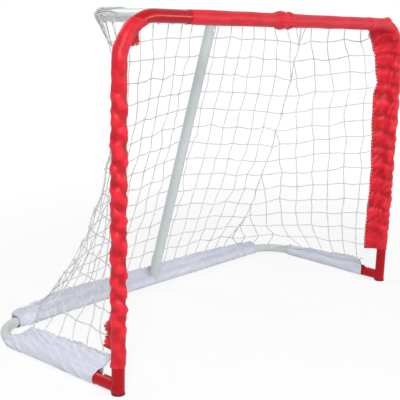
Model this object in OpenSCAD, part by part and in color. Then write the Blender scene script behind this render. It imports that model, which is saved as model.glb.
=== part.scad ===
// Knock-down steel hockey goal: tubular frame, snap-button joints, fabric sleeves and skirts, knotted net.
// Units are millimetres. +X runs along the crossbar, +Y towards the back of the goal, +Z up.
// The origin is on the floor, below the middle of the goal.

/* [Goal mouth] */
// Distance between the axes of the two posts
mouth_w = 980; // [900:1:1100]
// Height of the crossbar's axis above the floor
mouth_h = 700; // [640:1:760]
// Radius of the corner bends, on the tube's axis
corner_r = 85; // [60:1:110]
// Where the left half of the crossbar ends, right of the middle
split_x = 10; // [-20:1:40]

/* [Tube] */
// Outside diameter of the posts, crossbar, top frame and centre bar
tube_d = 25.4; // [24.4:0.1:26.4]
// Wall of that tube
tube_wall = 1.5; // [1.2:0.1:1.8]
// Wall of the thinner tube that slips inside it
inner_wall = 1.2; // [1:0.1:1.5]
// Radial gap between a tube and the thinner tube inside it
slip_gap = 0.1; // [0.05:0.01:0.15]

/* [Base frame] */
// How far the back base tube lies behind the posts
base_depth = 408; // [380:1:440]
// Half of the base frame's width at the back, to the sharp corner
base_half_w = 511; // [495:1:530]
// Radius of the base frame's corners, on the tube's axis
base_corner_r = 90; // [70:1:110]
// Height of the base tubes' axis above the floor
base_z = 14.5; // [14.5:0.1:18]
// Length of the red base stub from the post's axis
stub_len = 58; // [50:1:80]
// Length of base tube pushed into each socket
insert_len = 38; // [34:1:42]

/* [Top frame] */
// How far the top frame's back tube lies behind the crossbar
top_depth = 220; // [200:1:240]
// Half of the top frame's width at the crossbar
top_front_half = 402; // [395:1:410]
// Half of the top frame's width at the back, to the sharp corner
top_back_half = 368; // [355:1:385]
// Radius of the top frame's corners, on the tube's axis
top_corner_r = 75; // [60:1:90]
// Length of the spigots on the crossbar, from its axis
spigot_len = 76; // [72:1:90]

/* [Centre bar] */
// Length of the cross socket at the foot of the centre bar
tee_len = 92; // [84:1:110]
// Length of the spigot that carries the top of the centre bar
bar_spigot_len = 46; // [40:1:60]
// Distance from the top frame's axis to the centre bar's screw
bar_screw_drop = 25; // [22:0.5:30]
// Thread diameter of the centre bar's screw
screw_d = 5; // [4:0.5:6]
// Head diameter of that screw
screw_head_d = 9; // [8:0.5:10]

/* [Snap buttons] */
// Diameter of the button's stud
button_d = 6.3; // [5.5:0.1:7]
// How far a button stands out of the tube
button_out = 2.4; // [2:0.1:3]
// Radial gap between the stud and its holes
button_gap = 0.08; // [0.03:0.01:0.1]
// Distance of the button from the axis of the tube that carries the socket
button_from_post = 38; // [34:1:42]
// Distance of the foot socket's buttons from the middle
tee_button_x = 30; // [26:1:34]
// Distance from the split back to the crossbar's button
bar_button_back = 30; // [24:1:34]
// Length of the narrowed end of the right crossbar half
swage_len = 60; // [50:1:70]
// Thickness of the spring leaf
leaf_t = 0.6; // [0.5:0.1:0.8]
// Width of the spring leaf
leaf_w = 7; // [6:0.5:8]
// Length of the leaf from the button to its bend
leaf_len = 26; // [22:1:27]

/* [Post feet] */
// Thickness of the foot below the post
foot_t = 3; // [2:0.5:5]
// How far the foot stands proud of the tube
foot_lip = 0.8; // [0.4:0.1:1.5]
// Length of the plug inside the post
foot_plug_len = 16; // [10:1:25]

/* [Red sleeves] */
// Thickness of the sleeve fabric with its hems
sleeve_t = 2; // [1:0.1:3]
// Clearance between fabric and tube
cloth_gap = 0.3; // [0.2:0.1:0.6]
// Distance from the tube's axis to the free edge of the post flap
flap_reach = 38; // [30:1:46]
// Thickness of the flap, two layers stitched together
flap_t = 3; // [2:0.5:4]
// Height of the left sleeve's bottom edge
left_sleeve_z = 56; // [50:1:110]
// Angle round the corner where the left sleeve ends
left_sleeve_turn = 58; // [20:1:80]
// Height of the right sleeve's bottom edge
right_sleeve_z = 90; // [60:1:130]
// Where the left crossbar sleeve starts, left of the middle
bar_sleeve_left_x = -319; // [-330:1:-280]
// Where the right crossbar sleeve meets the corner sleeve
bar_sleeve_right_x = 331; // [300:1:340]
// Length of the puff of fabric over the crossbar joint
puff_len = 62; // [60:1:70]
// Outside radius of that puff
puff_r = 18.5; // [18:0.1:20]

/* [White skirts] */
// Height of the skirt's flap above the tube's axis, along its slope
skirt_h = 62; // [45:1:80]
// Thickness of the skirt's flap
skirt_t = 3; // [2:0.5:4]
// Lean of the side skirts towards the inside
skirt_lean = 30; // [10:1:40]
// Where the side skirts end, from the post's axis
side_skirt_end = 312; // [260:1:312]
// Half of the back skirt's width
back_skirt_half = 408; // [380:1:412]
// Half of the notch in the back skirt round the bar's foot
foot_notch = 47; // [47:1:60]

/* [Net] */
// Thickness of the twine
twine_d = 2.2; // [1.5:0.1:3]
// Diameter of the cord along each post flap
edge_cord_d = 3; // [2:0.5:4]
// Size of one mesh, coarser than the 46 of the real net to keep the model light
mesh_size = 56; // [46:1:80]
// Half of its width at the waist, where its corners are drawn in most
net_waist_half = 303; // [290:1:340]
// Height of the waist above the floor
net_waist_z = 350; // [300:1:400]
// How far the corners are drawn forward at the waist
net_waist_draw = 78; // [40:1:90]
// Half of the net's width at the back skirt
net_bottom_half = 362; // [350:1:390]
// Half of the top net's width at the crossbar
net_front_half = 418; // [405:1:430]
// Height where the side nets end below the corner bends
net_side_top = 660; // [620:1:670]
// Meshes across the top net
top_cols = 16; // [8:1:18]
// Meshes from the crossbar to the top frame
top_rows = 4; // [3:1:6]

/* [Hidden] */
$fn = 64;
eps = 0.01;
tube_r = tube_d / 2;
bore_r = tube_r - tube_wall;
inner_r = bore_r - slip_gap;
inner_bore_r = inner_r - inner_wall;
wrap_in = tube_r + cloth_gap;
skirt_out = base_z;
// Back reach of the skirts and front reach of the puff set where the middle lies.
tilt = atan2(base_depth - top_depth, mouth_h - base_z);
bar_len = norm([base_depth - top_depth, mouth_h - base_z]);
back_reach = (wrap_in + skirt_t) * cos(tilt);
front_y = -(base_depth + back_reach - puff_r) / 2;
post_x = mouth_w / 2;
bend_x = post_x - corner_r;
bend_z = mouth_h - corner_r;
base_splay = atan2(base_half_w - post_x, base_depth);
base_arm = norm([base_half_w - post_x, base_depth]);
top_splay = -atan2(top_front_half - top_back_half, top_depth);
top_arm = norm([top_front_half - top_back_half, top_depth]);
top_turn = 90 + top_splay;
top_bend = top_corner_r * tan(top_turn / 2);
bar_left_len = bend_x + split_x;
bar_right_len = bend_x - split_x;
// The net hangs just behind the tubes and the centre bar.
net_off = wrap_in + cloth_gap;
net_mid_off = net_off + twine_d / 2;
flap_x = post_x - (flap_reach + edge_cord_d / 2) * sin(45);
flap_y = (flap_reach + edge_cord_d / 2) * cos(45);
// The button's shoulder sits just below the round wall of the inner tube.
shoulder_t = 1;
shoulder_r = button_d / 2 + shoulder_t;
shoulder_top = sqrt(pow(inner_bore_r, 2) - pow(shoulder_r, 2)) - slip_gap;
leaf_foot = sqrt(pow(inner_bore_r, 2) - pow(leaf_w / 2, 2)) - slip_gap;
button_top = tube_r + button_out;
ridge_w = 1;
ridge_h = 0.03;
// Each panel of the net stops this far short of the seam with the next.
seam_gap = 0.75;

// ---- places -------------------------------------------------------------------------------------

// The right-hand side as built, or its mirror image.
module sided(side) {
    mirror([side < 0 ? 1 : 0, 0, 0]) children();
}

// Local +Y runs back along the right base arm from the post's axis.
module on_base_arm() {
    translate([post_x, front_y, base_z]) rotate([0, 0, -base_splay]) children();
}

// Local +Y runs back along the right arm of the top frame from the crossbar's axis.
module on_top_arm() {
    translate([top_front_half, front_y, mouth_h]) rotate([0, 0, -top_splay]) children();
}

// Local +Z runs up the slope of the centre bar, +Y square to it and outwards.
module on_slope() {
    translate([0, front_y + base_depth, base_z]) rotate([tilt, 0, 0]) children();
}

// Each snap button's place: local +Z is the way the button points, +Y runs into the inner tube.
module at_stub(side) {
    sided(side) on_base_arm() translate([0, button_from_post, 0]) children();
}

module at_spigot(side) {
    sided(side) on_top_arm() translate([0, button_from_post, 0]) mirror([0, 0, 1]) children();
}

module at_foot(side) {
    sided(side) translate([tee_button_x, front_y + base_depth, base_z]) rotate([0, 0, -90]) children();
}

module at_crossbar() {
    translate([split_x - bar_button_back, front_y, mouth_h]) rotate([180, 0, 0]) rotate([0, 0, -90])
        children();
}

// ---- sweeps -------------------------------------------------------------------------------------

// A straight run of a flat outline along +Y, from a to b.
module run_y(a, b) {
    translate([0, a, 0]) rotate([-90, 0, 0]) linear_extrude(b - a) children();
}

// Up the right post from z, round the corner by turn degrees, then along the crossbar by bar.
// The outline's +x points out of the goal and its +y to the back.
module along_frame(z, turn, bar) {
    translate([post_x, front_y, z]) linear_extrude(bend_z - z) children();
    translate([bend_x, front_y, bend_z]) rotate([90, 0, 0]) rotate_extrude(angle = turn)
        translate([corner_r, 0]) mirror([0, 1]) children();
    if (bar > 0)
        translate([bend_x, front_y, mouth_h]) rotate([0, -90, 0]) linear_extrude(bar) children();
}

// A round bar back along +Y from start to a corner at arm, round it to the left by turn, and on by tail.
// A hairline ridge lies where each straight run meets the bend.
module along_arm(start, arm, turn, bend_r, tail, r) {
    bend_y = arm - bend_r * tan(turn / 2);
    run_y(start, bend_y) circle(r);
    run_y(bend_y - ridge_w / 2, bend_y + ridge_w / 2) circle(r + ridge_h);
    translate([-bend_r, bend_y, 0]) {
        rotate_extrude(angle = turn) translate([bend_r, 0]) circle(r);
        rotate([0, 0, turn]) translate([bend_r, 0, 0]) {
            if (tail > 0) run_y(0, tail) circle(r);
            run_y(-ridge_w / 2, ridge_w / 2) circle(r + ridge_h);
        }
    }
}

// ---- front frame --------------------------------------------------------------------------------

// One red half of the front frame: post, corner, half crossbar, base stub and spigot.
// The crossbar is bar long, and its wide bore reaches as far as bored.
module front_half(bar, bored) {
    difference() {
        union() {
            along_frame(foot_t, 90, bar) circle(tube_r);
            on_base_arm() run_y(0, stub_len) circle(tube_r);
            on_top_arm() run_y(0, spigot_len) circle(inner_r);
        }
        along_frame(0, 90, bored) circle(bore_r);
        on_base_arm() run_y(tube_r, stub_len + eps) circle(bore_r);
        on_top_arm() run_y(tube_r, spigot_len + eps) circle(inner_bore_r);
    }
}

module button_hole() {
    cylinder(h = button_top, r = button_d / 2 + button_gap);
}

module left_front_frame() {
    color("firebrick") difference() {
        sided(-1) front_half(bar_left_len, bar_left_len + eps);
        at_stub(-1) button_hole();
        at_spigot(-1) button_hole();
        at_crossbar() button_hole();
    }
}

module right_front_frame() {
    neck = 3;
    color("firebrick") difference() {
        union() {
            front_half(bar_right_len, bar_right_len - neck);
            translate([split_x + neck / 2, front_y, mouth_h]) rotate([0, -90, 0])
                cylinder(h = swage_len + neck / 2, r = inner_r);
        }
        translate([split_x + neck + eps, front_y, mouth_h]) rotate([0, -90, 0])
            cylinder(h = swage_len + neck + 2 * eps, r = inner_bore_r);
        at_stub(1) button_hole();
        at_spigot(1) button_hole();
        at_crossbar() button_hole();
    }
}

// Black plug that closes a post and stands on the floor, notched round the base stub.
module post_foot(side) {
    color([0.12, 0.1, 0.1]) sided(side) {
        difference() {
            translate([post_x, front_y, 0]) cylinder(h = foot_t, r = tube_r + foot_lip);
            on_base_arm() run_y(0, stub_len) circle(tube_r + slip_gap);
        }
        translate([post_x, front_y, 0]) cylinder(h = foot_t + foot_plug_len, r = bore_r - slip_gap);
    }
}

module left_post_foot() post_foot(-1);
module right_post_foot() post_foot(1);

// ---- base and top frames ------------------------------------------------------------------------

// One white half of the base frame, from the base stub to the foot of the centre bar.
module base_half(side) {
    turn = 90 + base_splay;
    middle_gap = tee_len / 2 - insert_len;
    tail = base_half_w - base_corner_r * tan(turn / 2) - middle_gap;
    start = stub_len - insert_len;
    color([0.86, 0.88, 0.86]) difference() {
        sided(side) on_base_arm()
            along_arm(start, base_arm, turn, base_corner_r, tail, inner_r);
        sided(side) on_base_arm()
            along_arm(start - eps, base_arm, turn, base_corner_r, tail + eps, inner_bore_r);
        at_stub(side) button_hole();
        at_foot(side) button_hole();
    }
}

module left_base_tube() base_half(-1);
module right_base_tube() base_half(1);

// The top frame's run: the right arm and the whole back, then the left arm up to its bend.
module top_path(r, start) {
    back_len = 2 * (top_back_half - top_bend);
    on_top_arm() along_arm(start, top_arm, top_turn, top_corner_r, back_len, r);
    sided(-1) on_top_arm() along_arm(start, top_arm, top_turn, top_corner_r, 0, r);
}

// The white top frame: one U-shaped tube with a spigot for the centre bar.
module top_frame() {
    start = (wrap_in - tube_r * sin(top_splay)) / cos(top_splay);
    color([0.86, 0.88, 0.86]) difference() {
        union() {
            top_path(tube_r, start);
            on_slope() translate([0, 0, bar_len - bar_spigot_len]) cylinder(h = bar_spigot_len, r = inner_r);
        }
        top_path(bore_r, start - eps);
        on_slope() translate([0, 0, bar_len - bar_spigot_len - eps])
            cylinder(h = bar_spigot_len - tube_r, r = inner_bore_r);
        on_slope() bar_screw_hole();
        for (side = [-1, 1])
            at_spigot(side) button_hole();
    }
}

// ---- centre bar ---------------------------------------------------------------------------------

module bar_screw_hole() {
    translate([0, 0, bar_len - bar_screw_drop]) rotate([90, 0, 0])
        cylinder(h = tube_d, r = screw_d / 2 + slip_gap);
}

// The light grey bar with the cross socket that joins the two base tubes.
module centre_back_bar() {
    top_end = bar_len - tube_r - cloth_gap;
    color([0.78, 0.8, 0.8]) difference() {
        union() {
            on_slope() cylinder(h = top_end, r = tube_r);
            translate([-tee_len / 2, front_y + base_depth, base_z]) rotate([0, 90, 0])
                cylinder(h = tee_len, r = tube_r);
        }
        on_slope() translate([0, 0, tube_r]) cylinder(h = top_end, r = bore_r);
        translate([-tee_len / 2 - eps, front_y + base_depth, base_z]) rotate([0, 90, 0])
            cylinder(h = tee_len + 2 * eps, r = bore_r);
        on_slope() bar_screw_hole();
        for (side = [-1, 1])
            at_foot(side) button_hole();
    }
}

// Pan-head screw that pins the bar to its spigot, driven from inside the goal.
module centre_bar_screw() {
    head_h = 2.6;
    slot_t = 1;
    slot_depth = 1.2;
    bite = 6;
    shank = tube_wall + slip_gap + inner_wall + bite;
    color("silver") on_slope() translate([0, -tube_r, bar_len - bar_screw_drop]) rotate([90, 0, 0]) {
        difference() {
            intersection() {
                cylinder(h = head_h, r = screw_head_d / 2);
                translate([0, 0, head_h - screw_head_d]) sphere(screw_head_d);
            }
            for (a = [0, 90])
                rotate([0, 0, a]) translate([-screw_d / 2, -slot_t / 2, head_h - slot_depth])
                    cube([screw_d, slot_t, slot_depth + eps]);
        }
        translate([0, 0, -shank]) cylinder(h = shank + eps, r = screw_d / 2);
    }
}

// ---- snap buttons -------------------------------------------------------------------------------

// The stud with its domed head and the shoulder that stops it in the inner tube.
module snap_button() {
    dome_r = button_d * 0.7;
    color([0.8, 0.8, 0.82]) {
        intersection() {
            translate([0, 0, shoulder_top - eps])
                cylinder(h = button_top - shoulder_top + eps, r = button_d / 2);
            union() {
                translate([0, 0, button_top - dome_r]) sphere(dome_r);
                cylinder(h = button_top - dome_r, r = button_d);
            }
        }
        translate([0, 0, shoulder_top - shoulder_t]) cylinder(h = shoulder_t, r = shoulder_r);
    }
}

// The bent leaf: one leg rests on the tube, the other carries the button.
module leaf_spring() {
    tip = shoulder_r + shoulder_t;
    top = shoulder_top - shoulder_t;
    heel = -leaf_foot;
    color([0.6, 0.6, 0.62]) translate([-leaf_w / 2, 0, 0]) rotate([90, 0, 90]) linear_extrude(leaf_w)
        polygon([
            [-tip, top], [tip, top], [leaf_len, heel + 2 * leaf_t], [leaf_len + leaf_t, heel + leaf_t],
            [leaf_len, heel], [-tip, heel], [-tip, heel + leaf_t], [leaf_len - 2 * leaf_t, heel + leaf_t],
            [tip - leaf_t, top - leaf_t], [-tip, top - leaf_t]]);
}

module left_stub_button() at_stub(-1) snap_button();
module right_stub_button() at_stub(1) snap_button();
module left_stub_spring() at_stub(-1) leaf_spring();
module right_stub_spring() at_stub(1) leaf_spring();
module left_spigot_button() at_spigot(-1) snap_button();
module right_spigot_button() at_spigot(1) snap_button();
module left_spigot_spring() at_spigot(-1) leaf_spring();
module right_spigot_spring() at_spigot(1) leaf_spring();
module left_foot_button() at_foot(-1) snap_button();
module right_foot_button() at_foot(1) snap_button();
module left_foot_spring() at_foot(-1) leaf_spring();
module right_foot_spring() at_foot(1) leaf_spring();
module crossbar_button() at_crossbar() snap_button();
module crossbar_spring() at_crossbar() leaf_spring();

// ---- red sleeves --------------------------------------------------------------------------------

// Outline of a post sleeve: a ring with a flap that points inwards and back.
module sleeve_outline() {
    difference() {
        union() {
            circle(wrap_in + sleeve_t);
            rotate([0, 0, 135]) translate([0, -flap_t / 2]) square([flap_reach, flap_t]);
        }
        circle(wrap_in);
    }
}

module left_post_sleeve() {
    color("red") sided(-1) along_frame(left_sleeve_z, left_sleeve_turn, 0) sleeve_outline();
}

module right_post_sleeve() {
    color("red") difference() {
        along_frame(right_sleeve_z, 90, bend_x - bar_sleeve_right_x) sleeve_outline();
        on_top_arm() run_y(0, spigot_len) circle(wrap_in);
    }
}

// A plain tube of fabric on the crossbar, from x0 to x1.
module bar_sleeve(x0, x1, r_in, r_out) {
    translate([x0, front_y, mouth_h]) rotate([0, 90, 0]) difference() {
        cylinder(h = x1 - x0, r = r_out);
        translate([0, 0, -eps]) cylinder(h = x1 - x0 + 2 * eps, r = r_in);
    }
}

module left_crossbar_sleeve() {
    puff_x = split_x - puff_len;
    hem = 3;
    color("red") {
        bar_sleeve(bar_sleeve_left_x, puff_x + hem, wrap_in, wrap_in + sleeve_t);
        bar_sleeve(puff_x, puff_x + hem, wrap_in, puff_r);
        bar_sleeve(puff_x + hem, split_x - hem, puff_r - sleeve_t, puff_r);
        bar_sleeve(split_x - hem, split_x, wrap_in, puff_r);
    }
}

module right_crossbar_sleeve() {
    color("red") bar_sleeve(split_x, bar_sleeve_right_x, wrap_in, wrap_in + sleeve_t);
}

// ---- white skirts -------------------------------------------------------------------------------

// A side skirt wraps the base arm and leans inwards up to the net.
module side_skirt(side) {
    start = stub_len + cloth_gap;
    r_in = inner_r + cloth_gap;
    color("lavender") sided(side) on_base_arm() run_y(start, side_skirt_end) difference() {
        union() {
            circle(skirt_out);
            rotate([0, 0, -90 - skirt_lean]) translate([0, -skirt_t / 2]) square([skirt_h, skirt_t]);
        }
        circle(r_in);
    }
}

module left_skirt() side_skirt(-1);
module right_skirt() side_skirt(1);

// The back skirt wraps the back tube, with a notch for the bar's foot and its buttons.
module back_skirt() {
    width = 2 * back_skirt_half;
    color("lavender") difference() {
        union() {
            translate([-back_skirt_half, front_y + base_depth, base_z]) rotate([0, 90, 0])
                cylinder(h = width, r = skirt_out);
            on_slope() translate([-back_skirt_half, wrap_in, 0]) cube([width, skirt_t, skirt_h]);
        }
        translate([-back_skirt_half - eps, front_y + base_depth, base_z]) rotate([0, 90, 0])
            cylinder(h = width + 2 * eps, r = inner_r + cloth_gap);
        translate([-foot_notch, front_y + base_depth, base_z]) rotate([0, 90, 0])
            cylinder(h = 2 * foot_notch, r = wrap_in);
        on_slope() translate([-foot_notch, -2 * tube_d, 0])
            cube([2 * foot_notch, 2 * tube_d + wrap_in, skirt_h + eps]);
    }
}

// ---- net ----------------------------------------------------------------------------------------

// Point a share t of the way from p to q.
function between(p, q, t) = p + (q - p) * t;

// Netting in a four-sided frame a-b-c-d: cols meshes along a-b, rows meshes along a-d.
module netting(a, b, c, d, cols, rows) {
    half_u = twine_d / norm(b - a + c - d);
    half_v = twine_d / norm(d - a + c - b);
    function at(u, v) = between(between(a, b, u), between(d, c, u), v);
    linear_extrude(twine_d) difference() {
        polygon([a, b, c, d]);
        for (i = [1 : cols], j = [1 : rows]) {
            u = [(i - 1) / cols + half_u, i / cols - half_u];
            v = [(j - 1) / rows + half_v, j / rows - half_v];
            polygon([at(u[0], v[0]), at(u[1], v[0]), at(u[1], v[1]), at(u[0], v[1])]);
        }
    }
}

// Square netting in the plane of the triangle a-b-c, its meshes square to a-b.
module net_panel(a, b, c) {
    u = (b - a) / norm(b - a);
    n = cross(c - a, u) / norm(cross(c - a, u));
    v = cross(u, n);
    tip = [(c - a) * v, (c - a) * u];
    outline = [[0, 0], [0, norm(b - a)], tip];
    cols = [floor(min(tip[0], 0) / mesh_size), ceil(max(tip[0], 0) / mesh_size)];
    rows = [floor(min(tip[1], 0) / mesh_size), ceil(max(tip[1], norm(b - a)) / mesh_size)];
    multmatrix([
        [v[0], u[0], n[0], a[0]],
        [v[1], u[1], n[1], a[1]],
        [v[2], u[2], n[2], a[2]]])
        linear_extrude(twine_d, center = true) difference() {
            offset(delta = -seam_gap) polygon(outline);
            intersection() {
                offset(delta = -seam_gap - twine_d) polygon(outline);
                for (i = [cols[0] : cols[1]], j = [rows[0] : rows[1]])
                    translate([i * mesh_size + twine_d / 2, j * mesh_size + twine_d / 2])
                        square(mesh_size - twine_d);
            }
        }
}

// A point of the sloping plane just behind the centre bar.
function on_back(x, up) = [
    x,
    front_y + base_depth - up * sin(tilt) + net_mid_off * cos(tilt),
    base_z + up * cos(tilt) + net_mid_off * sin(tilt)];

// A point just above the hem of the right side skirt, s from the post's axis.
skirt_hem_z = base_z + skirt_h * cos(skirt_lean) + skirt_t / 2 * sin(skirt_lean) + cloth_gap;
function on_hem(s) = [
    post_x - skirt_h * sin(skirt_lean) * cos(base_splay) + s * sin(base_splay),
    front_y + skirt_h * sin(skirt_lean) * sin(base_splay) + s * cos(base_splay),
    skirt_hem_z];

// The top edge crosses the top frame's bend on a straight chord that clears the tube.
chord_reach = (top_corner_r + net_mid_off) * tan(top_turn / 4);
side_reach = top_arm - top_bend + chord_reach;
net_top_half = top_back_half - top_bend + chord_reach;

// The corners of the right half of the net.
net_front_y = front_y + flap_y + edge_cord_d / 2 + cloth_gap;
front_low = [flap_x, net_front_y, skirt_hem_z];
front_high = [flap_x, net_front_y, net_side_top];
side_high = [
    top_front_half + net_mid_off * cos(top_splay) + side_reach * sin(top_splay),
    front_y - net_mid_off * sin(top_splay) + side_reach * cos(top_splay),
    mouth_h];
hem_end = on_hem(side_skirt_end);
back_low = on_back(net_bottom_half, skirt_h);
back_high = on_back(net_top_half, bar_len);
bar_low = on_back(seam_gap, skirt_h);
bar_high = on_back(seam_gap, bar_len);
waist = on_back(net_waist_half, (net_waist_z - base_z) / cos(tilt)) - [0, net_waist_draw, 0];

// Three panels on each side of the centre bar, which holds the net back between its drawn-in corners.
module back_net() {
    color("white") for (side = [-1, 1])
        sided(side) {
            net_panel(bar_low, bar_high, waist);
            net_panel(bar_high, back_high, waist);
            net_panel(bar_low, back_low, waist);
        }
}

// Five panels from the post's flap, the skirt's hem and the top frame's bend to the drawn-in corner.
module side_net(side) {
    color("white") sided(side) {
        net_panel(front_low, front_high, waist);
        net_panel(front_high, side_high, waist);
        net_panel(side_high, back_high, waist);
        net_panel(front_low, hem_end, waist);
        net_panel(hem_end, back_low, waist);
    }
}

module left_net() side_net(-1);
module right_net() side_net(1);

module top_net() {
    front = front_y + sqrt(pow(puff_r, 2) - pow(wrap_in, 2)) + cloth_gap;
    back = front_y + top_depth + net_off + twine_d;
    color("white") translate([0, 0, mouth_h + wrap_in])
        netting(
            [-net_front_half, front], [net_front_half, front],
            [net_top_half, back], [-net_top_half, back], top_cols, top_rows);
}

// The cord that laces a side net to the free edge of the post flap.
module edge_cord(side, z) {
    color("white") sided(side) translate([flap_x, front_y + flap_y, z])
        cylinder(h = bend_z - z, r = edge_cord_d / 2);
}

module left_edge_cord() edge_cord(-1, left_sleeve_z);
module right_edge_cord() edge_cord(1, right_sleeve_z);

left_front_frame();
right_front_frame();
left_post_foot();
right_post_foot();
left_base_tube();
right_base_tube();
top_frame();
centre_back_bar();
centre_bar_screw();
left_stub_button();
right_stub_button();
left_stub_spring();
right_stub_spring();
left_spigot_button();
right_spigot_button();
left_spigot_spring();
right_spigot_spring();
left_foot_button();
right_foot_button();
left_foot_spring();
right_foot_spring();
crossbar_button();
crossbar_spring();
left_post_sleeve();
right_post_sleeve();
left_crossbar_sleeve();
right_crossbar_sleeve();
left_skirt();
right_skirt();
back_skirt();
back_net();
left_net();
right_net();
top_net();
left_edge_cord();
right_edge_cord();
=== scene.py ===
import math

import bmesh
import bpy
import numpy as np
from mathutils import Matrix, Vector


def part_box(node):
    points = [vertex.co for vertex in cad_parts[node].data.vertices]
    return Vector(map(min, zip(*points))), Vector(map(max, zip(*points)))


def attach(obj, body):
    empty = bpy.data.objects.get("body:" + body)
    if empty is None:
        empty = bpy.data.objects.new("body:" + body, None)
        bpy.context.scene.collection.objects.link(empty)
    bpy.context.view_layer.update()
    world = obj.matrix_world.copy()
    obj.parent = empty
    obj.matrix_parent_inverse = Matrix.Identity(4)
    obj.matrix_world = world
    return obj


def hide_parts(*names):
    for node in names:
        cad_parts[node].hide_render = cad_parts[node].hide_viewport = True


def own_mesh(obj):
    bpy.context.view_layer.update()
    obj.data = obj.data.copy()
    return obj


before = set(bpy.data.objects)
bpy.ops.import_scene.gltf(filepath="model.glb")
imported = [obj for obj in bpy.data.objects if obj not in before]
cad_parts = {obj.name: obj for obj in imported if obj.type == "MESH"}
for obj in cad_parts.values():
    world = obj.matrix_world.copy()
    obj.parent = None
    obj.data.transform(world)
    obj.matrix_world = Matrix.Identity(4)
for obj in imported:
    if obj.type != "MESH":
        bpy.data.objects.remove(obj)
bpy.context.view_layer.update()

# ---- sizes of the goal, in metres ------------------------

MM = 0.001
TUBE_R = 12.7 * MM
SLIM_R = 11.1 * MM
POST_X = 490 * MM
BAR_Z = 700 * MM
CORNER_R = 85 * MM
BASE_Z = 14.5 * MM
BASE_DEPTH = 408 * MM
BASE_HALF = 511 * MM
BASE_CORNER_R = 90 * MM
TOP_DEPTH = 220 * MM
TOP_FRONT = 402 * MM
TOP_BACK = 368 * MM
TOP_CORNER_R = 75 * MM
FRONT_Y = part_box("right_front_frame")[0].y + TUBE_R
BEND_Z = BAR_Z - CORNER_R
BEND_X = POST_X - CORNER_R
TILT = math.atan2(BASE_DEPTH - TOP_DEPTH, BAR_Z - BASE_Z)
# How far a post's flap is turned back, and a side skirt up, from the way out of the goal.
FLAP_TURN = math.radians(135)
SKIRT_TURN = math.radians(120)

FLOOR_GAP = 0.3 * MM
TWINE_R = 1.15 * MM


# ---- routes along the tubes ------------------------------

def stack(x, y, z):
    return np.stack(np.broadcast_arrays(x, y, z), axis=-1).astype(float)


def post_route(s, side):
    """Axis of a post, its corner and the crossbar, with the ways out of the goal and to the back."""
    turn = np.clip((s - BEND_Z) / CORNER_R, 0, math.pi / 2)
    along = np.maximum(s - BEND_Z - CORNER_R * math.pi / 2, 0)
    x = BEND_X + CORNER_R * np.cos(turn) - along
    z = np.minimum(s, BEND_Z) + CORNER_R * np.sin(turn)
    return (stack(side * x, FRONT_Y, z), stack(side * np.cos(turn), 0, np.sin(turn)),
            stack(0 * s, 1, 0))


def bend_ends(splay, arm, bend_r):
    """Where a side arm's bend starts and ends, by the length along the arm."""
    full = math.pi / 2 + splay
    start = arm - bend_r * math.tan(full / 2)
    return start, start + bend_r * full


def arm_route(s, side, half, splay, arm, bend_r, height):
    """Axis of a bent side arm from the front, with the ways out of the goal and up."""
    full = math.pi / 2 + splay
    start, end = bend_ends(splay, arm, bend_r)
    turn = np.clip((s - start) / bend_r, 0, full)
    along = np.maximum(s - end, 0)
    x = bend_r * (np.cos(turn) - 1) - along * math.sin(full)
    y = np.minimum(s, start) + bend_r * np.sin(turn) + along * math.cos(full)
    c, d = math.cos(splay), math.sin(splay)
    out_x, out_y = np.cos(turn), np.sin(turn)
    return (stack(side * (half + x * c + y * d), FRONT_Y + y * c - x * d, height),
            stack(side * (out_x * c + out_y * d), out_y * c - out_x * d, 0),
            stack(0 * s, 0, 1))


BASE_SPLAY = math.atan2(BASE_HALF - POST_X, BASE_DEPTH)
TOP_SPLAY = math.atan2(TOP_BACK - TOP_FRONT, TOP_DEPTH)
BASE_ARM = math.hypot(BASE_HALF - POST_X, BASE_DEPTH)
TOP_ARM = math.hypot(TOP_BACK - TOP_FRONT, TOP_DEPTH)


def base_route(s, side):
    return arm_route(s, side, POST_X, BASE_SPLAY, BASE_ARM, BASE_CORNER_R, BASE_Z)


def top_route(s, side):
    return arm_route(s, side, TOP_FRONT, TOP_SPLAY, TOP_ARM, TOP_CORNER_R, BAR_Z)


BASE_BEND, BASE_BEND_END = bend_ends(BASE_SPLAY, BASE_ARM, BASE_CORNER_R)
TOP_BEND, TOP_BEND_END = bend_ends(TOP_SPLAY, TOP_ARM, TOP_CORNER_R)
BACK_MIDDLE = BASE_BEND_END + BASE_HALF - (BASE_ARM - BASE_BEND)


def back_route(s):
    """Axis of the back base tube and its bends, with the ways out and up, leaned as the back net is."""
    centre, out, up = base_route(BACK_MIDDLE - np.abs(s), np.where(s < 0, -1, 1))
    return (centre, out * math.cos(TILT) + up * math.sin(TILT),
            up * math.cos(TILT) - out * math.sin(TILT))


def bar_route(s):
    """Axis of the crossbar from left to right, with the ways up and to the back."""
    return stack(s, FRONT_Y, BAR_Z), stack(0 * s, 0, 1), stack(0 * s, 1, 0)


def unit(vectors):
    return vectors / np.maximum(np.linalg.norm(vectors, axis=-1, keepdims=True), 1e-12)


def ringed(centre, radius, turn, first, second):
    """Places round a centre, turned from the first way towards the second."""
    return centre + radius * (np.cos(turn) * first + np.sin(turn) * second)


def lengths_along(path):
    return np.concatenate([[0], np.cumsum(np.linalg.norm(np.diff(path, axis=0), axis=1))])


def points_at(path, at):
    """The places at given lengths along a path."""
    run = lengths_along(path)
    return np.stack([np.interp(at, run, column) for column in path.T], axis=1)


def spaced(path, count):
    """count + 1 evenly spaced points along a path."""
    path = np.asarray(path, float)
    return points_at(path, np.linspace(0, lengths_along(path)[-1], count + 1))


def read_off(table, at):
    """A value from a table of (place, value) in mm, at places in metres."""
    places, values = np.array(table, float).T
    return np.interp(np.asarray(at) / MM, places, values) * MM


# ---- shaping cloth ---------------------------------------

ARC_POINTS = 60


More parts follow.
